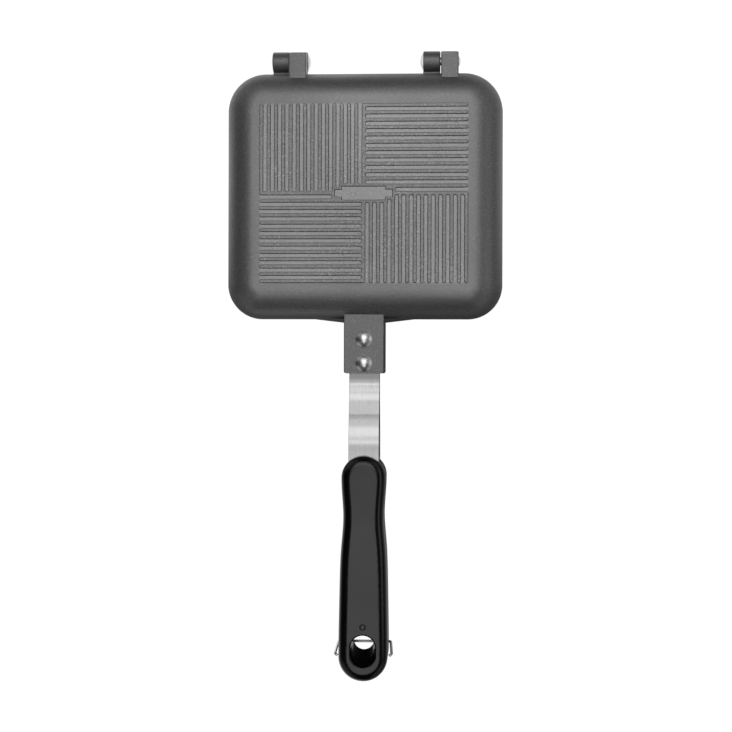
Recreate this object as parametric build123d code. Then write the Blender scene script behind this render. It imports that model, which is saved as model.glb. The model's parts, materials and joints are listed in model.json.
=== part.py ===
from build123d import *
from math import acos, atan2, cos, degrees, radians, sin, sqrt, tan
import os

# Pie iron: two identical cast pans hinged at the far end, each with a steel strap handle,
# a moulded grip and two rivets, and a sprung wire clip that holds the grips together.
# Millimetres. +Z up, +Y from the handle towards the hinge, origin at the middle of the
# bottom of the closed iron.

# Every half is modelled in its own frame first: X across, Y = 0 at the middle of the pan,
# Z = 0 at the parting plane and growing outwards, towards that half's base.

# ---- clearances ----
parting_gap = 0.3        # between the two rims of the closed iron
side_gap = 0.4           # between neighbouring hinge lugs
end_play = 0.3           # between a pin's head or tail and a lug that turns on it
pin_clearance = 0.05     # radial, hinge pin in its lugs
rivet_clearance = 0.1    # radial, rivet in bracket and strap
strap_clearance = 0.2    # each side of the strap in its channel
wire_clearance = 0.08    # radial, clip wire in the lower grip
tip_clearance = 0.3      # clip tip to the side of the upper grip

# ---- pan casting ----
pan_width = 152.0        # over the rim, X
pan_length = 135.6       # over the rim, Y
pan_depth = 19.0         # parting plane to the flat of the base
wall_draft = 5.0         # degrees
base_blend = 16.0        # radius from wall to base, outside
far_corner = 21.5        # plan radius at the hinge end
near_corner = 19.0       # plan radius at the handle end
wall_thickness = 3.4     # at the rim
base_thickness = 3.2
cavity_blend = 12.5      # radius from wall to floor, inside

# ---- raised bars and blank plaque on the base ----
bar_width = 2.0
bar_pitch = 3.97
bar_height = 0.8
bar_draft = 12.0         # degrees, sides of the bars and of the plaque's border
bar_margin = 2.0         # flat of the base left round the bars, at least
plaque_width = 23.6
plaque_height = 7.3
tab_width = 31.4         # over the two end tabs of the plaque
tab_height = 3.9
plaque_border = 1.4

# ---- hinge ----
hinge_offset = 7.1       # rim to hinge axis
barrel_radius = 5.6
lug_width = 9.5
lug_spacing = 83.3       # between the middles of the two hinges
lug_height = 13.2        # parting plane to the top of a lug
lug_reach = 9.8          # rim to the far edge of a lug's top
lug_chamfer = 0.45
pin_diameter = 4.6
pin_head_diameter = 9.2
pin_head_height = 1.6
pin_tail_diameter = 6.1
pin_tail_height = 0.9

# ---- bracket cast on the near wall ----
bracket_width = 23.3     # at the parting plane
bracket_draft = 4.9      # degrees
bracket_height = 10.8    # parting plane to the bracket's face
bracket_length = 29.9    # rim to the bracket's end
bracket_corner = 1.2
flare_width = 55.0       # thickened rim either side of the bracket
flare_depth = 1.9
flare_height = 8.6
flare_draft = 14.0       # degrees

# ---- rivets ----
rivet_diameter = 4.0
rivet_head_diameter = 9.1
rivet_head_height = 2.3
rivet_head_edge = 0.6    # straight side of the head under its dome
rivet_tail_diameter = 7.0
rivet_tail_height = 1.5
rivet_first = 11.2       # rim to the first rivet
rivet_spacing = 13.2

# ---- strap ----
strap_width = 16.7
strap_thickness = 2.0
strap_level = 3.0        # middle of the strap above the parting plane, in the bracket
strap_rise = 7.0         # from the bracket's level to the grip's
strap_start = 3.5        # rim to the strap's end in the bracket
bend_start = 34.3        # rim to the first bend
# length along the strap and slope that it reaches there, in parts of the steepest slope
strap_bends = [(2.5, 0.30), (2.2, 0.22), (1.4, 0.26), (5.5, 0.76), (6.2, 0.76), (1.4, 1.0),
               (1.0, 1.0), (19.0, 0.0)]
tang_width = 11.0        # strap where it runs down the grip
tang_shoulder = 7.0      # full width carried this far into the grip
tang_length = 82.0       # strap inside the grip

# ---- grip ----
grip_start = 74.9        # rim to the front of the grip
grip_length = 123.1
grip_front_radius = 12.0
grip_end_radius = 13.45
grip_inner = 0.6         # parting plane to the grip's inner face
grip_outer = 17.5        # parting plane to the grip's outer face
grip_outer_round = 5.0
grip_inner_round = 1.8
# distance from the front of the grip, half width
grip_sides = [(33.6, 10.95), (50.1, 12.1), (68.0, 12.85), (92.0, 13.3)]

# ---- hanging hole, from the tip of the grip ----
hole_outer_width = 13.5
hole_outer_length = 17.4
hole_outer_tip = 8.1     # tip of the grip to the hole's edge, outer face
hole_inner_width = 11.2
hole_inner_length = 11.6
hole_inner_tip = 14.9    # the same at the inner face
hole_round = 0.8
pip_diameter = 2.0
pip_groove = 0.8         # width of the round groove about it
pip_tip = 30.2           # tip of the grip to the moulded pip

# ---- wire clip ----
wire_diameter = 1.5
wire_level = 8.5         # parting plane to the pivot bar, in the lower grip
wire_tip = 17.9          # tip of the grip to the pivot bar
wire_overhang = 1.2      # bar past the side of the grip
clip_height = 16.5       # pivot bar to the turned-in tips
clip_lean = 3.9          # how far the legs lean towards the grip's tip
clip_splay = 1.0         # how far each leg spreads on its way up
clip_turn = 34.0         # degrees that the turned-in tips point towards the grip's tip
clip_bend = 1.3
dimple_radius = 1.5
dimple_depth = 0.6

# ---- derived ----
half_gap = parting_gap / 2
rim_far = pan_length / 2
rim_near = -pan_length / 2
axis_y = rim_far + hinge_offset
grip_front = rim_near - grip_start
grip_tip = grip_front - grip_length
blend_reach = base_blend * tan(radians(45 - wall_draft / 2))
wall_inset = (pan_depth - half_gap) * tan(radians(wall_draft)) + blend_reach
parting_z = pan_depth + bar_height
pan_y = -(grip_tip + axis_y + barrel_radius) / 2
bar_gap = bar_pitch - bar_width
steps_x = int((pan_width / 2 - wall_inset - bar_margin - bar_width / 2) / bar_pitch)
steps_y = int((pan_length / 2 - wall_inset - bar_margin - bar_width / 2) / bar_pitch)
strap_top = strap_level + strap_thickness / 2
strap_bottom = strap_level - strap_thickness / 2
pin_length = 2 * lug_width + side_gap + end_play


def rim_outline(inset):
    """Plan of the pan at the rim, taken in by inset, with its own radius at each end."""
    plan = Rectangle(pan_width - 2 * inset, pan_length - 2 * inset)
    far = [v for v in plan.vertices() if v.Y > 0]
    plan = fillet(far, far_corner - inset)
    near = [v for v in plan.vertices() if v.Y < -pan_length / 2 + inset + 0.01]
    near = [v for v in near if abs(v.X) > pan_width / 2 - inset - 0.01]
    return fillet(near, near_corner - inset)


def dish(inset, depth, blend):
    """Solid dish with drafted walls and a blended base, standing on the parting plane."""
    body = extrude(Pos(0, 0, half_gap) * rim_outline(inset), amount=depth - half_gap,
                   taper=wall_draft)
    return fillet(body.faces().sort_by(Axis.Z)[-1].edges(), blend)


def fence(u, halves):
    """How far out a valley at u has to start to stay outside the plaque's border."""
    reaches = [v for half, v in halves if half > u]
    return max(reaches + [bar_width / 2])


def comb(steps, reach, halves):
    """One quarter of the pattern: bars grow along +Y from a band and step along +X."""
    side = steps * bar_pitch + bar_width / 2
    root = reach - bar_width / 2
    plate = Pos(side / 2, root / 2) * Rectangle(side, root)
    valleys = []
    ends = []
    for i in range(steps):
        u = (i + 0.5) * bar_pitch
        start = fence(u, halves) + bar_gap / 2
        valleys.append(Pos(u, (start + reach) / 2) * Rectangle(bar_gap, reach - start))
        valleys.append(Pos(u, start) * Circle(bar_gap / 2))
    for i in range(steps + 1):
        ends.append(Pos(i * bar_pitch, root) * Circle(bar_width / 2))
    return plate - valleys + ends


def bar_pattern():
    """Four quarters of bars in a pinwheel round a blank bordered plaque."""
    half_x = steps_x * bar_pitch + bar_width / 2
    half_y = steps_y * bar_pitch + bar_width / 2
    b = plaque_border
    wide = [(plaque_width / 2 + b, plaque_height / 2 + b), (tab_width / 2 + b, tab_height / 2 + b)]
    tall = [(v, u) for u, v in wide]
    # the upright bars of the far quarter step towards -X
    upright = mirror(comb(steps_x, half_y, wide), about=Plane.YZ)
    # a comb turned over the diagonal has its bars along X
    lying = mirror(comb(steps_y, half_x, tall), about=Plane.YZ).rotate(Axis.Z, -90)
    pattern = upright + lying
    pattern += [upright.rotate(Axis.Z, 180), lying.rotate(Axis.Z, 180)]
    for u, v in wide:
        pattern += Rectangle(2 * u, 2 * v)
    return pattern - [Rectangle(plaque_width, plaque_height), Rectangle(tab_width, tab_height)]


def lug_profile():
    """Side view of a hinge lug: a barrel on the hinge axis under a slab off the pan wall."""
    corner_y = lug_reach - hinge_offset
    far = sqrt(corner_y ** 2 + lug_height ** 2)
    turn = atan2(lug_height, corner_y) - acos(barrel_radius / far)
    tangent = (barrel_radius * cos(turn), barrel_radius * sin(turn))
    inner = -hinge_offset - wall_inset
    slab = Polyline((inner, half_gap), (inner, lug_height), (corner_y, lug_height), tangent,
                    (0, 0), (-barrel_radius * 0.98, half_gap), close=True)
    return make_face(slab) + Circle(barrel_radius)


def lug(middle_x):
    """One hinge lug, standing across X at the far wall, its edges chamfered at both sides."""
    plane = Plane((middle_x - lug_width / 2, axis_y, 0), x_dir=(0, 1, 0), z_dir=(1, 0, 0))
    body = extrude(plane * lug_profile(), amount=lug_width)
    low, high = middle_x - lug_width / 2, middle_x + lug_width / 2
    outer = [e for e in body.edges() if e.center().Y > rim_far - wall_inset / 2
             and min(abs(e.center().X - low), abs(e.center().X - high)) < 0.01]
    return chamfer(outer, lug_chamfer)


def bracket():
    """Tapered block that stands off the near wall and takes the strap and its rivets."""
    low_x = bracket_width / 2
    high_x = low_x - bracket_height * tan(radians(bracket_draft))
    section = Polyline((-low_x, half_gap), (low_x, half_gap), (high_x, bracket_height),
                       (-high_x, bracket_height), close=True)
    end_y = rim_near - bracket_length
    plane = Plane((0, end_y, 0), x_dir=(-1, 0, 0), z_dir=(0, 1, 0))
    body = extrude(plane * make_face(section), amount=bracket_length + wall_inset / 2)
    corners = [e for e in body.edges() if abs(e.center().Y - end_y) < 0.01
               and abs(e.center().X) > high_x - 0.01]
    return fillet(corners, bracket_corner)


def flare():
    """Thickening of the rim beside the bracket, fading into the wall above it."""
    half = flare_width / 2
    root = bracket_width / 2
    plan = Polyline((-half, rim_near), (-root, rim_near - flare_depth),
                    (root, rim_near - flare_depth), (half, rim_near),
                    (half, rim_near + flare_depth), (-half, rim_near + flare_depth), close=True)
    return extrude(Pos(0, 0, half_gap) * make_face(plan), amount=flare_height, taper=flare_draft)


def rivet_places():
    """Middles of the two rivets along Y."""
    return [rim_near - rivet_first, rim_near - rivet_first - rivet_spacing]


def casting():
    """One pan with its bars, hinge lugs and bracket. Both halves of the iron are this piece."""
    body = dish(0, pan_depth, base_blend)
    for middle in (-lug_spacing / 2 + (lug_width + side_gap) / 2,
                   lug_spacing / 2 + (lug_width + side_gap) / 2):
        body += lug(middle)
    body += bracket() + flare()
    bars = Pos(0, 0, pan_depth) * bar_pattern()
    body += extrude(bars, amount=-base_thickness / 2, dir=(0, 0, 1))
    body += extrude(bars, amount=bar_height, taper=bar_draft)
    body -= dish(wall_thickness, pan_depth - base_thickness, cavity_blend)
    # channel for the strap, open towards the parting plane and the handle
    channel_start = rim_near - strap_start + strap_clearance
    channel_end = rim_near - bracket_length - bracket_corner
    channel = Box(strap_width + 2 * strap_clearance, channel_start - channel_end, strap_top,
                  align=(Align.CENTER, Align.MIN, Align.MIN))
    body -= Pos(0, channel_end, 0) * channel
    for y in rivet_places():
        body -= Pos(0, y, 0) * Cylinder(rivet_diameter / 2 + rivet_clearance, 4 * pan_depth)
    bore = Cylinder(pin_diameter / 2 + pin_clearance, pan_width, rotation=(0, 90, 0))
    return body - Pos(0, axis_y, 0) * bore


def strap_rise_at(steepest):
    """Rise of the bends for a steepest slope in radians."""
    rise, slope = 0.0, 0.0
    for length, part in strap_bends:
        turned = part * steepest
        turn = turned - slope
        if turn == 0:
            rise += length * sin(slope)
        else:
            rise += length / turn * (cos(slope) - cos(turned))
        slope = turned
    return rise


def strap_line():
    """Middle of the strap in side view: level, the bends of the S outwards, then the tang."""
    steepest = 0.1
    for _ in range(60):
        steepest *= strap_rise / strap_rise_at(steepest)
    here = Vector(rim_near - strap_start, strap_level)
    corner = Vector(rim_near - bend_start, strap_level)
    parts = [Line(here, corner)]
    here, slope = corner, 0.0
    for length, part in strap_bends:
        turned = part * steepest
        along = Vector(-cos(slope), sin(slope))
        turn = turned - slope
        if turn == 0:
            parts.append(Line(here, here + along * length))
        else:
            parts.append(JernArc(here, along, length / abs(turn), -degrees(turn)))
        here = parts[-1] @ 1
        slope = turned
    parts.append(Line(here, Vector(grip_front - tang_length, here.Y)))
    return Wire(parts)


def strap():
    """Flat steel strap: level in the bracket, an S-bend outwards, then a tang down the grip."""
    start_y = rim_near - strap_start
    end_y = grip_front - tang_length
    middle = strap_line()
    half = strap_thickness / 2
    side = make_face(offset(middle, amount=half, side=Side.BOTH))
    plane = Plane((-strap_width / 2, 0, 0), x_dir=(0, 1, 0), z_dir=(1, 0, 0))
    body = extrude(plane * side, amount=strap_width)
    shoulder_y = grip_front - tang_shoulder
    wide = Pos(0, (start_y + shoulder_y) / 2) * Rectangle(strap_width, start_y - shoulder_y)
    tang = Pos(0, (start_y + end_y) / 2) * Rectangle(tang_width, start_y - end_y)
    body &= extrude(wide + tang, amount=2 * (strap_level + strap_rise))
    for y in rivet_places():
        body -= Pos(0, y, 0) * Cylinder(rivet_diameter / 2 + rivet_clearance, 4 * pan_depth)
    return body


def grip_plan():
    """Outline of the grip from the front to the tip: two round ends and waisted sides."""
    front_y = grip_front - grip_front_radius
    end_y = grip_tip + grip_end_radius
    places = [(half, grip_front - along) for along, half in grip_sides]
    points = [(grip_front_radius, front_y)] + places + [(grip_end_radius, end_y)]
    right = Spline(*points, tangents=[(0, -1), (0, -1)])
    left = mirror(right, about=Plane.YZ)
    front = CenterArc((0, front_y), grip_front_radius, 0, 180)
    end = CenterArc((0, end_y), grip_end_radius, 180, 180)
    return make_face([front, left, end, right])


def slot_at(width, length, tip_y, level):
    """Plan of one end of the hanging hole, its tip end at tip_y."""
    place = Pos(0, tip_y + length / 2, level)
    return place * SlotOverall(length, width, rotation=90)


def hanging_hole():
    """Hole through the grip that narrows from the outer face to the inner one."""
    outer = slot_at(hole_outer_width, hole_outer_length, grip_tip + hole_outer_tip, grip_outer)
    inner = slot_at(hole_inner_width, hole_inner_length, grip_tip + hole_inner_tip, grip_inner)
    return loft([inner, outer])


def grip(tang):
    """Moulded grip round the strap's tang, with its hanging hole and pip."""
    thickness = grip_outer - grip_inner
    body = extrude(Pos(0, 0, grip_inner) * grip_plan(), amount=thickness)
    body = fillet(body.faces().sort_by(Axis.Z)[-1].edges(), grip_outer_round)
    body = fillet(body.faces().sort_by(Axis.Z)[0].edges(), grip_inner_round)
    body -= hanging_hole()
    mouth_y = grip_tip + hole_outer_tip + hole_outer_length / 2
    mouth = [e for e in body.edges() if abs(e.center().Z - grip_outer) < 0.01
             and abs(e.center().X) < hole_outer_width / 2 + 0.01
             and abs(e.center().Y - mouth_y) < hole_outer_length / 2 + 0.01]
    body = fillet(mouth, hole_round)
    body -= tang
    groove = Torus(pip_diameter / 2 + pip_groove / 2, pip_groove / 2)
    return body - Pos(0, grip_tip + pip_tip, grip_outer) * groove


def cap(diameter, height):
    """Shallow dome standing on Z = 0."""
    radius = diameter / 2
    sphere = (radius ** 2 + height ** 2) / (2 * height)
    ball = Pos(0, 0, height - sphere) * Sphere(sphere)
    return ball & Cylinder(2 * sphere, 2 * sphere, align=(Align.CENTER, Align.CENTER, Align.MIN))


def rivet(y):
    """Domed rivet through bracket and strap, its tail set under the strap."""
    edge = Cylinder(rivet_head_diameter / 2, rivet_head_edge,
                    align=(Align.CENTER, Align.CENTER, Align.MIN))
    dome = cap(rivet_head_diameter, rivet_head_height - rivet_head_edge)
    head = Pos(0, 0, bracket_height) * (edge + Pos(0, 0, rivet_head_edge) * dome)
    shank = Pos(0, 0, strap_bottom) * Cylinder(
        rivet_diameter / 2, bracket_height - strap_bottom,
        align=(Align.CENTER, Align.CENTER, Align.MIN))
    tail = Pos(0, 0, strap_bottom) * Cylinder(
        rivet_tail_diameter / 2, rivet_tail_height,
        align=(Align.CENTER, Align.CENTER, Align.MAX))
    return Pos(0, y, 0) * (head + shank + tail)


def hinge_pin(head_x, away):
    """Headed pin lying along X, its head's flat at head_x and its tail the way away points."""
    head = Rot(0, -90 * away, 0) * cap(pin_head_diameter, pin_head_height)
    shank = Rot(0, 90 * away, 0) * Cylinder(
        pin_diameter / 2, pin_length, align=(Align.CENTER, Align.CENTER, Align.MIN))
    tail = Rot(0, 90 * away, 0) * cap(pin_tail_diameter, pin_tail_height)
    pin = head + shank + Pos(away * pin_length, 0, 0) * tail
    return Pos(head_x, axis_y, 0) * pin


def hinge_pins():
    """Left and right pin, both with the head on the inner side of their hinge."""
    inner = lug_spacing / 2 - lug_width - side_gap / 2
    return hinge_pin(-inner + end_play, -1), hinge_pin(inner, 1)


def clip_bar_y():
    """Pivot bar of the clip along Y."""
    return grip_tip + wire_tip


def clip_leg_x():
    """Middle of the clip's right leg at its top."""
    return grip_end_radius + wire_overhang + clip_splay


def clip_tip_place():
    """Middle of the right tip's end face: X, Y and height over the pivot bar."""
    turn = radians(clip_turn)
    tip_x = grip_end_radius + tip_clearance + wire_diameter / 2 * sin(turn)
    tip_y = clip_bar_y() - clip_lean - (clip_leg_x() - tip_x) * tan(turn)
    return tip_x, tip_y, clip_height


def wire_clip():
    """U of spring wire round the grips: pivot bar, two legs and turned-in tips."""
    foot = (grip_end_radius + wire_overhang, clip_bar_y(), 0)
    top = (clip_leg_x(), clip_bar_y() - clip_lean, clip_height)
    right = [foot, top, clip_tip_place()]
    left = [(-x, y, z) for x, y, z in reversed(right)]
    path = FilletPolyline(*(left + right), radius=clip_bend)
    start = Plane(path @ 0, z_dir=path % 0)
    return sweep(start * Circle(wire_diameter / 2), path=path)


def with_pivot_hole(grip_body):
    """Grip with the cross hole that the clip's bar turns in."""
    hole = Cylinder(wire_diameter / 2 + wire_clearance, 4 * grip_end_radius,
                    rotation=(0, 90, 0))
    return grip_body - Pos(0, clip_bar_y(), wire_level) * hole


def with_dimples(grip_body):
    """Grip with the two shallow dimples that the clip's tips spring towards."""
    _, tip_y, height = clip_tip_place()
    for side in (-1, 1):
        middle_x = side * (grip_end_radius + dimple_radius - dimple_depth)
        grip_body -= Pos(middle_x, tip_y, height - wire_level) * Sphere(dimple_radius)
    return grip_body


def upper(body):
    """From a half's own frame to the upper half of the closed iron."""
    return Pos(0, pan_y, parting_z) * body


def lower(body):
    """The same for the lower half: turned over about Y, as its identical casting is."""
    return Pos(0, pan_y, parting_z) * Rot(0, 180, 0) * body


def build():
    """Every piece of the closed iron by name."""
    pan = casting()
    bar = strap()
    plain_grip = grip(bar)
    pin_left, pin_right = hinge_pins()
    pieces = {
        "lower_pan": lower(pan),
        "upper_pan": upper(pan),
        "hinge_pin_left": upper(pin_left),
        "hinge_pin_right": upper(pin_right),
        "lower_strap": lower(bar),
        "upper_strap": upper(bar),
        "lower_grip": lower(with_pivot_hole(plain_grip)),
        "upper_grip": upper(with_dimples(plain_grip)),
        "wire_clip": Pos(0, pan_y, parting_z - wire_level) * wire_clip(),
    }
    for place, y in zip(("front", "rear"), rivet_places()):
        pieces["lower_rivet_" + place] = lower(rivet(y))
        pieces["upper_rivet_" + place] = upper(rivet(y))
    return pieces


os.makedirs("parts", exist_ok=True)
for name, piece in build().items():
    export_step(piece, "parts/" + name + ".step")
    print(name, round(piece.volume, 1))
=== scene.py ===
import json
import math

import bmesh
import bpy
from mathutils import Matrix, Vector


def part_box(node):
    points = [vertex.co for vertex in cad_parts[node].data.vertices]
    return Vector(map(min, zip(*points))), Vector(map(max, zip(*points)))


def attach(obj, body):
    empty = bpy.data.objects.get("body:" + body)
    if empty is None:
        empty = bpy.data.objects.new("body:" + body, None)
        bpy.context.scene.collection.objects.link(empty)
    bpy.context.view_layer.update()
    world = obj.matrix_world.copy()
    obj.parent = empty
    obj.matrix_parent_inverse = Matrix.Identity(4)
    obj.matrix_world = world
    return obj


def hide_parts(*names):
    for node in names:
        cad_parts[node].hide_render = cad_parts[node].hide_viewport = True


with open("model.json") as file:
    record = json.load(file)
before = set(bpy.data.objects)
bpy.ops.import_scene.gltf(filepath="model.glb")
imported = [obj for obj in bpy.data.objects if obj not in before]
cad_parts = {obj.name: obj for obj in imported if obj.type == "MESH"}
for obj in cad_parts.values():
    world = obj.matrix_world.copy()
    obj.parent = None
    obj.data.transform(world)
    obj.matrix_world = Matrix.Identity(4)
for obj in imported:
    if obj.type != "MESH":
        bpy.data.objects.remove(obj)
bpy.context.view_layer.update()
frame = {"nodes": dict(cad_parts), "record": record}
scene = bpy.context.scene
mm = 0.001

# places taken from the frame
panLow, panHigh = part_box("upper_pan")
gripLow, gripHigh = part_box("upper_grip")
lowerPanLow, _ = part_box("lower_pan")
partingZ = (panHigh.z + lowerPanLow.z) / 2


# node helpers

def addNode(tree, kind, inputs=None, **values):
    # inputs: socket name or number -> another node's socket, or a value
    node = tree.nodes.new(kind)
    for key, value in values.items():
        setattr(node, key, value)
    for key, value in (inputs or {}).items():
        if isinstance(value, bpy.types.NodeSocket):
            tree.links.new(value, node.inputs[key])
        else:
            node.inputs[key].default_value = value
    return node


def mapRange(tree, value, low, high, toLow, toHigh, kind="LINEAR"):
    node = addNode(tree, "ShaderNodeMapRange", {
        "Value": value, "From Min": low, "From Max": high, "To Min": toLow, "To Max": toHigh,
    }, interpolation_type=kind)
    return node.outputs["Result"]


def maths(tree, operation, first, second=None):
    inputs = {0: first} if second is None else {0: first, 1: second}
    return addNode(tree, "ShaderNodeMath", inputs, operation=operation).outputs[0]


def split(tree, direction):
    # the x, y and z of a place or direction
    return addNode(tree, "ShaderNodeSeparateXYZ", {0: direction}).outputs


# camera: nearly straight above, a little to the right, looking back at the iron

cameraSetup = {
    "foot": (38.0 * mm, 0.80 * mm),     # straight below the lens
    "height": 800 * mm,                 # over the parting plane
    "aim": (0.7 * mm, -1.00 * mm),      # on the parting plane
    "roll": 0.15,                       # degrees
    "lens": 70.99,
    "sensor": 36.0,
}


def placeCamera(setup):
    data = bpy.data.cameras.new("camera")
    data.lens = setup["lens"]
    data.sensor_width = setup["sensor"]
    data.clip_start = 0.01
    camera = bpy.data.objects.new("camera", data)
    scene.collection.objects.link(camera)
    eye = Vector((*setup["foot"], partingZ + setup["height"]))
    aim = Vector((*setup["aim"], partingZ))
    back = (eye - aim).normalized()
    right = Vector((0, 1, 0)).cross(back).normalized()
    up = back.cross(right)
    turn = Matrix.Rotation(math.radians(setup["roll"]), 3, back)
    axes = turn @ Matrix((right, up, back)).transposed()
    camera.matrix_world = Matrix.Translation(eye) @ axes.to_4x4()
    scene.camera = camera


placeCamera(cameraSetup)


# floor and light

floorSetup = {
    "size": 6.0,
    "colour": (0.16, 0.16, 0.16),
    "roughness": 0.9,
    "glowSeen": 1.0,        # looked at directly
    "glowNear": 0.50,       # what it throws back on the iron, right beside it
    "glowFar": 0.05,        # and out of its reach
    "reach": 0.22,
    "dullHalf": 0.12,       # strip in front of the pans that throws little back
    "dullShare": 0.05,
    "leftShare": 1.8,       # left of the iron
    "rightShare": 1.2,      # right of the pans
    "gripShare": 0.5,       # right of the grips
    "rightFade": 0.05,      # from the one to the other
    "sideFade": 0.01,       # from left to right
}
worldSetup = {
    "seen": 1.0,
    "light": 0.012,
    "corner": 0.32,         # towards the four corners of the room
    "cornerFrom": 0.20,     # direction's x times its y, where that begins
    "cornerFull": 0.42,     # and where it is full
}

# soft boxes: centre, size along x and y, brightness of the face
lightSetup = {
    "overheadBox": {"at": (0.0, -0.02, 2.3), "size": (0.94, 0.66), "radiance": 0.97},
    "farBox": {"at": (0.0, 0.53, 1.62), "size": (1.3, 0.84), "radiance": 1.22},
    "farBoxCore": {"at": (0.0, 0.52, 1.6), "size": (1.2, 0.34), "radiance": 0.6},
    "farBoxRim": {"at": (0.0, 1.06, 1.32), "size": (1.3, 0.46), "radiance": 0.8},
    "nearBox": {"at": (0.02, -0.53, 1.65), "size": (0.7, 0.64), "radiance": 1.35},
    "rightFill": {"at": (1.6, 0.1, 0.9), "size": (1.2, 0.9), "radiance": 0.65},
}


def areaLight(name, at, size, radiance):
    # a soft box facing the middle of the floor
    data = bpy.data.lights.new(name, "AREA")
    data.shape = "RECTANGLE"
    data.size, data.size_y = size
    data.energy = radiance * math.pi * size[0] * size[1]
    lamp = bpy.data.objects.new(name, data)
    scene.collection.objects.link(lamp)
    lamp.location = at
    lamp.rotation_euler = Vector(at).to_track_quat("Z", "Y").to_euler()
    lamp.visible_camera = False


def seenAndUnseen(tree, seen, unseen):
    # one strength for what the lens sees, another for what lights the iron
    rays = addNode(tree, "ShaderNodeLightPath")
    return mapRange(tree, rays.outputs["Is Camera Ray"], 0.0, 1.0, unseen, seen)


def awayFromBox(tree, where, low, high):
    # distance on the floor from the outline of a box
    steps = (
        ("SUBTRACT", ((low.x + high.x) / 2, (low.y + high.y) / 2, 0)),
        ("ABSOLUTE", None),
        ("SUBTRACT", ((high.x - low.x) / 2, (high.y - low.y) / 2, 1)),
        ("MAXIMUM", (0, 0, 0)),
    )
    value = where
    for operation, other in steps:
        inputs = {0: value} if other is None else {0: value, 1: other}
        value = addNode(tree, "ShaderNodeVectorMath", inputs, operation=operation).outputs["Vector"]
    return addNode(tree, "ShaderNodeVectorMath", {0: value}, operation="LENGTH").outputs["Value"]


def makeFloor(setup):
    mesh = bpy.data.meshes.new("floor")
    bm = bmesh.new()
    bmesh.ops.create_grid(bm, x_segments=1, y_segments=1, size=setup["size"] / 2)
    bm.to_mesh(mesh)
    bm.free()
    floor = bpy.data.objects.new("floor", mesh)
    scene.collection.objects.link(floor)
    material = bpy.data.materials.new("paleFloor")
    material.use_nodes = True
    tree = material.node_tree
    shader = tree.nodes["Principled BSDF"]
    shader.inputs["Base Color"].default_value = (*setup["colour"], 1)
    shader.inputs["Roughness"].default_value = setup["roughness"]
    shader.inputs["Specular IOR Level"].default_value = 0.0
    shader.inputs["Emission Color"].default_value = (1, 1, 1, 1)
    # right beside the iron the floor throws more light back
    where = addNode(tree, "ShaderNodeTexCoord").outputs["Object"]
    beside = maths(tree, "MINIMUM", awayFromBox(tree, where, panLow, panHigh),
                   awayFromBox(tree, where, gripLow, gripHigh))
    glow = mapRange(tree, beside, 0.0, setup["reach"], setup["glowNear"], setup["glowFar"],
                    "SMOOTHSTEP")
    place = split(tree, where)
    dull, half, edge = setup["dullShare"], setup["dullHalf"], panLow.y
    beyond = mapRange(tree, place["Y"], edge, edge + half, dull, 1.0, "SMOOTHSTEP")
    before = mapRange(tree, place["Y"], edge - half, edge, 1.0, dull, "SMOOTHSTEP")
    glow = maths(tree, "MULTIPLY", glow, maths(tree, "MAXIMUM", beyond, before))
    right = mapRange(tree, place["Y"], edge, edge + setup["rightFade"],
                     setup["gripShare"], setup["rightShare"])
    side = mapRange(tree, place["X"], -setup["sideFade"], setup["sideFade"],
                    setup["leftShare"], right)
    glow = maths(tree, "MULTIPLY", glow, side)
    tree.links.new(seenAndUnseen(tree, setup["glowSeen"], glow), shader.inputs["Emission Strength"])
    mesh.materials.append(material)


def makeWorld(setup):
    world = bpy.data.worlds.new("studio")
    scene.world = world
    world.use_nodes = True
    tree = world.node_tree
    tree.nodes.clear()
    towards = split(tree, addNode(tree, "ShaderNodeTexCoord").outputs["Generated"])
    slant = maths(tree, "ABSOLUTE", maths(tree, "MULTIPLY", towards["X"], towards["Y"]))
    light = mapRange(tree, slant, setup["cornerFrom"], setup["cornerFull"],
                     setup["light"], setup["corner"], "SMOOTHSTEP")
    background = addNode(tree, "ShaderNodeBackground", {
        "Color": (1, 1, 1, 1), "Strength": seenAndUnseen(tree, setup["seen"], light)})
    addNode(tree, "ShaderNodeOutputWorld", {"Surface": background.outputs["Background"]})


makeFloor(floorSetup)
makeWorld(worldSetup)
for lampName, lamp in lightSetup.items():
    areaLight(lampName, **lamp)
scene.view_settings.view_transform = "Standard"
print("stage: camera, floor and lights")


# shared effects

def newGroup(name, inputs, outputs):
    # inputs and outputs: name -> (socket kind, starting value)
    group = bpy.data.node_groups.new(name, "ShaderNodeTree")
    for direction, sockets in (("INPUT", inputs), ("OUTPUT", outputs)):
        for socketName, (kind, value) in sockets.items():
            socket = group.interface.new_socket(socketName, in_out=direction, socket_type=kind)
            if value is not None:
                socket.default_value = value
    return group, group.nodes.new("NodeGroupInput"), group.nodes.new("NodeGroupOutput")


number, vector = "NodeSocketFloat", "NodeSocketVector"


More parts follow.
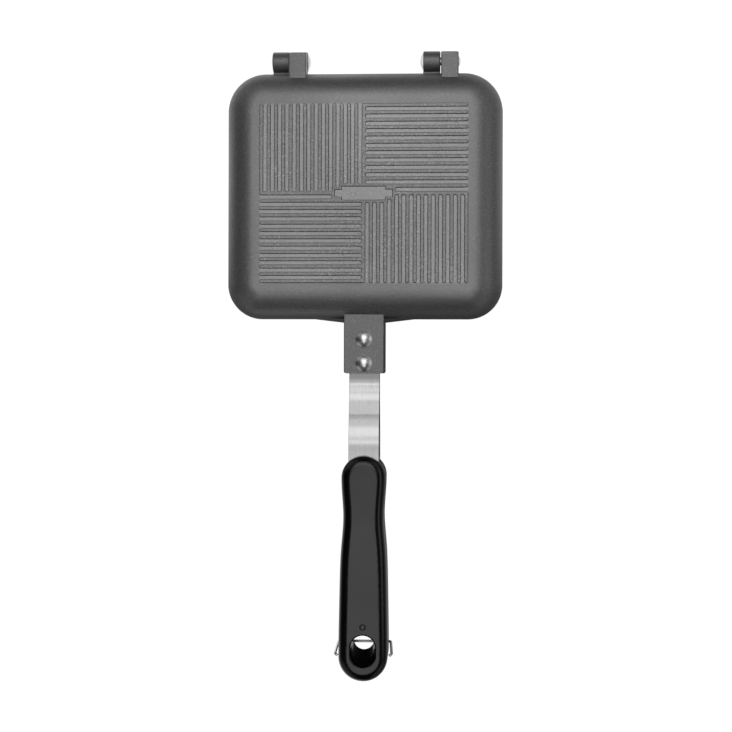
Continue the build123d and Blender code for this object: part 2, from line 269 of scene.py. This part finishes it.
def makeCastGrain():
    # fine pits and flecks of a sprayed coating on a sand casting
    group, source, result = newGroup("castGrain", {
        "Vector": (vector, None), "Grain Scale": (number, 900.0), "Fleck Scale": (number, 420.0),
        "Fleck Share": (number, 0.3), "Cloud Scale": (number, 22.0),
    }, {name: (number, None) for name in ("Tone", "Flecks", "Cloud", "Height")})
    place = source.outputs["Vector"]
    grain = addNode(group, "ShaderNodeTexNoise", {
        "Vector": place, "Scale": source.outputs["Grain Scale"], "Detail": 3.0, "Roughness": 0.6})
    fleck = addNode(group, "ShaderNodeTexNoise", {
        "Vector": place, "Scale": source.outputs["Fleck Scale"], "Detail": 2.0, "Roughness": 0.7})
    cloud = addNode(group, "ShaderNodeTexNoise", {
        "Vector": place, "Scale": source.outputs["Cloud Scale"], "Detail": 3.0})
    edge = mapRange(group, source.outputs["Fleck Share"], 0.0, 1.0, 0.78, 0.48)
    high = maths(group, "ADD", edge, 0.07)
    flecks = mapRange(group, fleck.outputs["Fac"], edge, high, 0.0, 1.0)
    tone = mapRange(group, grain.outputs["Fac"], 0.3, 0.7, 0.0, 1.0)
    height = maths(group, "ADD", grain.outputs["Fac"],
                   maths(group, "MULTIPLY", flecks, 0.6))
    for name, value in (("Tone", tone), ("Flecks", flecks),
                        ("Cloud", cloud.outputs["Fac"]), ("Height", height)):
        group.links.new(value, result.inputs[name])
    return group


def makeStreaks():
    # long fine lines left by rolling or polishing, along the axis that Stretch is small on
    group, source, result = newGroup("streaks", {
        "Vector": (vector, None), "Stretch": (vector, (1.0, 0.02, 1.0)), "Scale": (number, 1500.0),
    }, {"Tone": (number, None), "Height": (number, None)})
    place = addNode(group, "ShaderNodeVectorMath", {
        0: source.outputs["Vector"], 1: source.outputs["Stretch"]}, operation="MULTIPLY")
    fine = addNode(group, "ShaderNodeTexNoise", {
        "Vector": place.outputs[0], "Scale": source.outputs["Scale"], "Detail": 3.0})
    broadScale = maths(group, "MULTIPLY", source.outputs["Scale"], 0.12)
    broad = addNode(group, "ShaderNodeTexNoise", {
        "Vector": place.outputs[0], "Scale": broadScale, "Detail": 2.0})
    mixed = maths(group, "ADD", maths(group, "MULTIPLY", fine.outputs["Fac"], 0.6),
                  maths(group, "MULTIPLY", broad.outputs["Fac"], 0.4))
    group.links.new(mapRange(group, mixed, 0.35, 0.65, 0.0, 1.0), result.inputs["Tone"])
    group.links.new(fine.outputs["Fac"], result.inputs["Height"])
    return group


def makeEdgeWear():
    # where the surface turns sharply outwards it is rubbed brighter, unevenly
    group, source, result = newGroup("edgeWear", {
        "Vector": (vector, None), "Reach": (number, 0.0006), "Patchiness": (number, 0.6),
        "Patch Scale": (number, 160.0),
    }, {"Mask": (number, None)})
    rounded = addNode(group, "ShaderNodeBevel", {"Radius": source.outputs["Reach"]}, samples=4)
    shape = addNode(group, "ShaderNodeNewGeometry")
    same = addNode(group, "ShaderNodeVectorMath", {
        0: rounded.outputs["Normal"], 1: shape.outputs["Normal"]}, operation="DOT_PRODUCT")
    turned = mapRange(group, same.outputs["Value"], 0.99, 0.90, 0.0, 1.0)
    patch = addNode(group, "ShaderNodeTexNoise", {
        "Vector": source.outputs["Vector"], "Scale": source.outputs["Patch Scale"], "Detail": 3.0})
    level = mapRange(group, patch.outputs["Fac"], 0.35, 0.62, 0.0, 1.0)
    kept = maths(group, "SUBTRACT", 1.0, maths(group, "MULTIPLY", source.outputs["Patchiness"],
                                             maths(group, "SUBTRACT", 1.0, level)))
    group.links.new(maths(group, "MULTIPLY", turned, kept), result.inputs["Mask"])
    return group


castGrain = makeCastGrain()
streaks = makeStreaks()
edgeWear = makeEdgeWear()


def newMaterial(name):
    material = bpy.data.materials.new(name)
    material.use_nodes = True
    tree = material.node_tree
    where = addNode(tree, "ShaderNodeTexCoord").outputs["Object"]
    return material, tree, tree.nodes["Principled BSDF"], where


def placeGroup(tree, group, inputs):
    return addNode(tree, "ShaderNodeGroup", inputs, node_tree=group).outputs


def mixColour(tree, factor, first, second):
    # first and second: a colour socket or three numbers
    first, second = (value if isinstance(value, bpy.types.NodeSocket) else (*value, 1)
                     for value in (first, second))
    node = addNode(tree, "ShaderNodeMix", {0: factor, 6: first, 7: second}, data_type="RGBA")
    return node.outputs[2]


def addBump(tree, shader, height, strength, distance):
    bump = addNode(tree, "ShaderNodeBump", {
        "Height": height, "Strength": strength, "Distance": distance})
    tree.links.new(bump.outputs["Normal"], shader.inputs["Normal"])


barsSetup = {
    "height": 0.8 * mm,
    "baseStart": 3.0 * mm,      # below the bars' foot, where the wall turns into the base
    "baseFull": 0.3 * mm,
    "fieldFull": 0.1 * mm,
    "footBand": (0.01 * mm, 0.06 * mm),     # above the foot, where the bars' sides start
    "topBand": (0.12 * mm, 0.03 * mm),      # below the top, where they end
}
barsTop = partingZ - lowerPanLow.z      # from the parting plane
barsFoot = barsTop - barsSetup["height"]
barCorners = [v.co for v in frame["nodes"]["upper_pan"].data.vertices
              if v.co.z > panHigh.z - 0.01 * mm]
barsMiddle = (min(c.y for c in barCorners) + max(c.y for c in barCorners)) / 2
barsHalf = (max(c.x for c in barCorners), max(c.y for c in barCorners) - barsMiddle)

panSetup = {
    "dark": (0.196, 0.197, 0.199),
    "light": (0.254, 0.255, 0.257),
    "grain": {"Grain Scale": 1000.0, "Fleck Scale": 1050.0, "Fleck Share": 0.72,
              "Cloud Scale": 18.0},
    "dirt": {"Grain Scale": 300.0, "Fleck Scale": 800.0, "Fleck Share": 0.78,
             "Cloud Scale": 60.0},
    "dirtShift": (0.31, 0.17, 0.05),    # keeps the dirt's pattern off the grain's
    "fleck": (0.66, 0.66, 0.662),       # bare spots in the bars' field
    "pit": (0.10, 0.10, 0.101),         # and dirt in it
    "fleckAmount": 0.8,
    "pitAmount": 0.42,
    "strayAmount": 0.18,                # flecks elsewhere
    "fieldFade": (-0.4 * mm, 0.5 * mm),     # about the edge of the bars' field
    "baseSheen": (0.45, 0.45, 0.452),      # painted sheen: the base painted lighter than what stands lower
    "baseSheenAmount": 0.36,
    "baseSheenFade": (1 * mm, 11 * mm),    # past the bars' sides, down to the edge share of the painted sheen
    "baseSheenEdge": 0.2,
    "valley": (0.50, 0.50, 0.502),      # painted highlight: the low ground between the bars painted lighter
    "valleyAmount": 0.74,
    "side": (0.03, 0.03, 0.031),        # painted shade along the bars' sides
    "sideShadeAmount": 0.95,
    "worn": (0.46, 0.46, 0.462),
    "wornAmount": 0.6,
    "wornReach": 0.6 * mm,
    "metallic": 0.6,
    "roughness": (0.41, 0.49),
    "grainBump": 0.22,
    "calm": 0.4,                        # share of the grain's height on lugs, bracket and walls
}


def panMaterial(setup):
    material, tree, shader, where = newMaterial("panCoating")
    grain = placeGroup(tree, castGrain, {"Vector": where, **setup["grain"]})
    shifted = addNode(tree, "ShaderNodeVectorMath", {0: where, 1: setup["dirtShift"]},
                      operation="ADD").outputs[0]
    dirt = placeGroup(tree, castGrain, {"Vector": shifted, **setup["dirt"]})
    colour = mixColour(tree, grain["Tone"], setup["dark"], setup["light"])
    place = split(tree, where)
    outwards = maths(tree, "ABSOLUTE", maths(tree, "SUBTRACT", place["Z"], partingZ))
    across = maths(tree, "ABSOLUTE", place["X"])
    along = maths(tree, "ABSOLUTE", maths(tree, "SUBTRACT", place["Y"], barsMiddle))

    # the bars' field: from the base up, and inside the bars' outline
    baseStart, baseFull = barsFoot - barsSetup["baseStart"], barsFoot - barsSetup["baseFull"]
    field = mapRange(tree, outwards, baseFull, barsFoot - barsSetup["fieldFull"], 0.0, 1.0)
    for value, half in zip((across, along), barsHalf):
        start, end = (half + fade for fade in setup["fieldFade"])
        field = maths(tree, "MULTIPLY", field, mapRange(tree, value, start, end, 1.0, 0.0))

    # painted sheen on the base: lighter, most in the middle, darker towards its sides where less
    # light falls
    base = mapRange(tree, outwards, baseStart, baseFull, 0.0, setup["baseSheenAmount"])
    start, end = (barsHalf[0] + fade for fade in setup["baseSheenFade"])
    middle = mapRange(tree, across, start, end, 1.0, setup["baseSheenEdge"])
    colour = mixColour(tree, maths(tree, "MULTIPLY", base, middle), colour, setup["baseSheen"])

    # low ground between the bars painted lighter as a painted highlight, then the bars' sides
    # painted dark as painted shade
    footLow, footHigh = (barsFoot + height for height in barsSetup["footBand"])
    topLow, topHigh = (barsTop - depth for depth in barsSetup["topBand"])
    low = maths(tree, "MULTIPLY", mapRange(tree, outwards, footLow, footHigh, 1.0, 0.0), field)
    colour = mixColour(tree, maths(tree, "MULTIPLY", low, setup["valleyAmount"]),
                       colour, setup["valley"])
    # painted shade: the bars' sides painted nearly black
    aboveFoot = mapRange(tree, outwards, footLow, footHigh, 0.0, setup["sideShadeAmount"])
    belowTop = mapRange(tree, outwards, topLow, topHigh, 1.0, 0.0)
    colour = mixColour(tree, maths(tree, "MULTIPLY", aboveFoot, belowTop), colour, setup["side"])

    # dirt and bare flecks, in patches
    patchy = mapRange(tree, dirt["Cloud"], 0.38, 0.62, 0.25, 1.0)
    spotted = maths(tree, "MULTIPLY", field, patchy)
    pits = maths(tree, "MULTIPLY", dirt["Flecks"], spotted)
    colour = mixColour(tree, maths(tree, "MULTIPLY", pits, setup["pitAmount"]),
                       colour, setup["pit"])
    share = mapRange(tree, spotted, 0.0, 1.0, setup["strayAmount"], setup["fleckAmount"])
    colour = mixColour(tree, maths(tree, "MULTIPLY", grain["Flecks"], share),
                       colour, setup["fleck"])
    worn = placeGroup(tree, edgeWear, {"Vector": where, "Reach": setup["wornReach"]})
    colour = mixColour(tree, maths(tree, "MULTIPLY", worn["Mask"], setup["wornAmount"]),
                       colour, setup["worn"])
    tree.links.new(colour, shader.inputs["Base Color"])
    rough = mapRange(tree, grain["Cloud"], 0.3, 0.7, *setup["roughness"])
    tree.links.new(rough, shader.inputs["Roughness"])
    shader.inputs["Metallic"].default_value = setup["metallic"]
    calm = mapRange(tree, base, 0.0, setup["baseSheenAmount"], setup["calm"], 1.0)
    height = maths(tree, "MULTIPLY", grain["Height"], calm)
    addBump(tree, shader, height, setup["grainBump"], 0.2 * mm)
    return material


strapSetup = {
    "dark": (0.39, 0.39, 0.392),
    "light": (0.44, 0.44, 0.442),
    "roughness": (0.13, 0.17),
    "streakBump": 0.02,
    "stretch": (1.0, 0.02, 1.0),
    "scale": 1600.0,
    "paintedShade": (0.26, 0.26, 0.262),      # painted shade: darker next to the pans, beside the bracket
    "paintedShadeUntil": panLow.y - 4.5 * mm,
    "paintedShadeFrom": panLow.y - 2.5 * mm,
}
rivetSetup = {
    "dark": (0.86, 0.86, 0.862),
    "light": (0.94, 0.94, 0.942),
    "roughness": (0.28, 0.36),
    "streakBump": 0.05,
    "stretch": (1.0, 0.3, 1.0),
    "scale": 900.0,
}
pinSetup = {
    "dark": (0.80, 0.80, 0.802),
    "light": (0.90, 0.90, 0.902),
    "roughness": (0.18, 0.26),
    "streakBump": 0.05,
    "stretch": (0.3, 1.0, 1.0),
    "scale": 900.0,
}
wireSetup = {
    "dark": (0.62, 0.62, 0.622),
    "light": (0.72, 0.72, 0.722),
    "roughness": (0.12, 0.18),
    "streakBump": 0.02,
    "stretch": (0.1, 1.0, 1.0),
    "scale": 900.0,
}


def steelMaterial(name, setup):
    material, tree, shader, where = newMaterial(name)
    lines = placeGroup(tree, streaks, {
        "Vector": where, "Stretch": setup["stretch"], "Scale": setup["scale"]})
    colour = mixColour(tree, lines["Tone"], setup["dark"], setup["light"])
    # painted shade: the strap painted darker next to the pans
    if "paintedShade" in setup:
        near = mapRange(tree, split(tree, where)["Y"], setup["paintedShadeUntil"], setup["paintedShadeFrom"],
                        0.0, 1.0)
        colour = mixColour(tree, near, colour, setup["paintedShade"])
    tree.links.new(colour, shader.inputs["Base Color"])
    rough = mapRange(tree, lines["Tone"], 0.0, 1.0, *setup["roughness"])
    tree.links.new(rough, shader.inputs["Roughness"])
    shader.inputs["Metallic"].default_value = 1.0
    addBump(tree, shader, lines["Height"], setup["streakBump"], 0.1 * mm)
    return material


gripSetup = {
    "dark": (0.002, 0.002, 0.002),
    "light": (0.004, 0.004, 0.004),
    "roughness": (0.19, 0.25),
    "bump": 0.04,
    "ior": 1.53,
    "grain": {"Grain Scale": 700.0, "Fleck Scale": 300.0, "Fleck Share": 0.2,
              "Cloud Scale": 30.0},
}


def gripMaterial(setup):
    material, tree, shader, where = newMaterial("gripPlastic")
    grain = placeGroup(tree, castGrain, {"Vector": where, **setup["grain"]})
    colour = mixColour(tree, grain["Cloud"], setup["dark"], setup["light"])
    tree.links.new(colour, shader.inputs["Base Color"])
    rough = mapRange(tree, grain["Cloud"], 0.3, 0.7, *setup["roughness"])
    tree.links.new(rough, shader.inputs["Roughness"])
    shader.inputs["IOR"].default_value = setup["ior"]
    addBump(tree, shader, grain["Tone"], setup["bump"], 0.1 * mm)
    return material


finish = {
    "pan_coating": panMaterial(panSetup),
    "strap_steel": steelMaterial("strapSteel", strapSetup),
    "rivet_steel": steelMaterial("rivetSteel", rivetSetup),
    "pin_steel": steelMaterial("pinSteel", pinSetup),
    "clip_wire": steelMaterial("clipWire", wireSetup),
    "grip_plastic": gripMaterial(gripSetup),
}
slotOf = {s["node"]: s["material_slot"] for s in frame["record"]["subparts"]}
bodyOf = {node: body for body, nodes in frame["record"]["behaviour"]["bodies"].items()
          for node in nodes}
for name, node in frame["nodes"].items():
    node.data.materials.clear()
    node.data.materials.append(finish[slotOf[name]])
print("stage: materials")


# pans and straps with softened edges, from the frame's own shapes

softSetup = {
    "barEdge": 0.20 * mm,
    "barFoot": 0.15 * mm,
    "castEdge": 0.22 * mm,
    "strapEdge": 0.16 * mm,
    "sharpAngle": 0.55,     # radians between faces that count as an edge
    "flatAngle": 0.004,     # radians between faces that count as one
    "level": 0.02 * mm,     # how near a height counts as at it
    "rimBand": 1.0 * mm,    # next to the parting plane, left sharp
    "normalWeight": 60,
}


def mergedCopy(node):
    bm = bmesh.new()
    bm.from_mesh(frame["nodes"][node].data)
    bmesh.ops.remove_doubles(bm, verts=bm.verts, dist=1e-6)
    bmesh.ops.dissolve_limit(bm, angle_limit=softSetup["flatAngle"], verts=bm.verts, edges=bm.edges)
    return bm


def sharpEdges(bm, wanted):
    limit = softSetup["sharpAngle"]
    return [e for e in bm.edges if len(e.link_faces) == 2 and e.calc_face_angle() > limit
            and wanted(e)]


def roundEdges(bm, edges, width, segments=2):
    bmesh.ops.bevel(bm, geom=edges, offset=width, offset_type="OFFSET", segments=segments,
                    profile=0.5, affect="EDGES", clamp_overlap=False, material=-1)


def standFor(bm, node, name):
    mesh = bpy.data.meshes.new(name)
    bmesh.ops.recalc_face_normals(bm, faces=bm.faces)
    for face in bm.faces:
        face.smooth = True
    for edge in sharpEdges(bm, lambda e: True):
        edge.smooth = False
    bm.to_mesh(mesh)
    bm.free()
    mesh.materials.append(finish[slotOf[node]])
    piece = bpy.data.objects.new(name, mesh)
    scene.collection.objects.link(piece)
    flat = piece.modifiers.new("flatten", "WEIGHTED_NORMAL")
    flat.keep_sharp = True
    flat.weight = softSetup["normalWeight"]
    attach(piece, bodyOf[node])
    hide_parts(node)


def softPan(node):
    bm = mergedCopy(node)
    near = softSetup["level"]

    def out(vertex):
        return abs(vertex.co.z - partingZ)

    def edgesAt(height):
        return sharpEdges(bm, lambda e: all(abs(out(v) - height) < near for v in e.verts))

    roundEdges(bm, edgesAt(barsTop), softSetup["barEdge"], 3)
    roundEdges(bm, edgesAt(barsFoot), softSetup["barFoot"], 2)
    castEdges = sharpEdges(bm, lambda e: e.is_convex and all(
        softSetup["rimBand"] < out(v) < barsFoot - near for v in e.verts))
    roundEdges(bm, castEdges, softSetup["castEdge"])
    standFor(bm, node, node + "_cast")


for panNode in ("upper_pan", "lower_pan"):
    softPan(panNode)


def softStrap(node):
    bm = mergedCopy(node)
    roundEdges(bm, sharpEdges(bm, lambda e: e.is_convex), softSetup["strapEdge"], 3)
    standFor(bm, node, node + "_bar")


for strapNode in ("upper_strap", "lower_strap"):
    softStrap(strapNode)
print("stage: pans and straps")
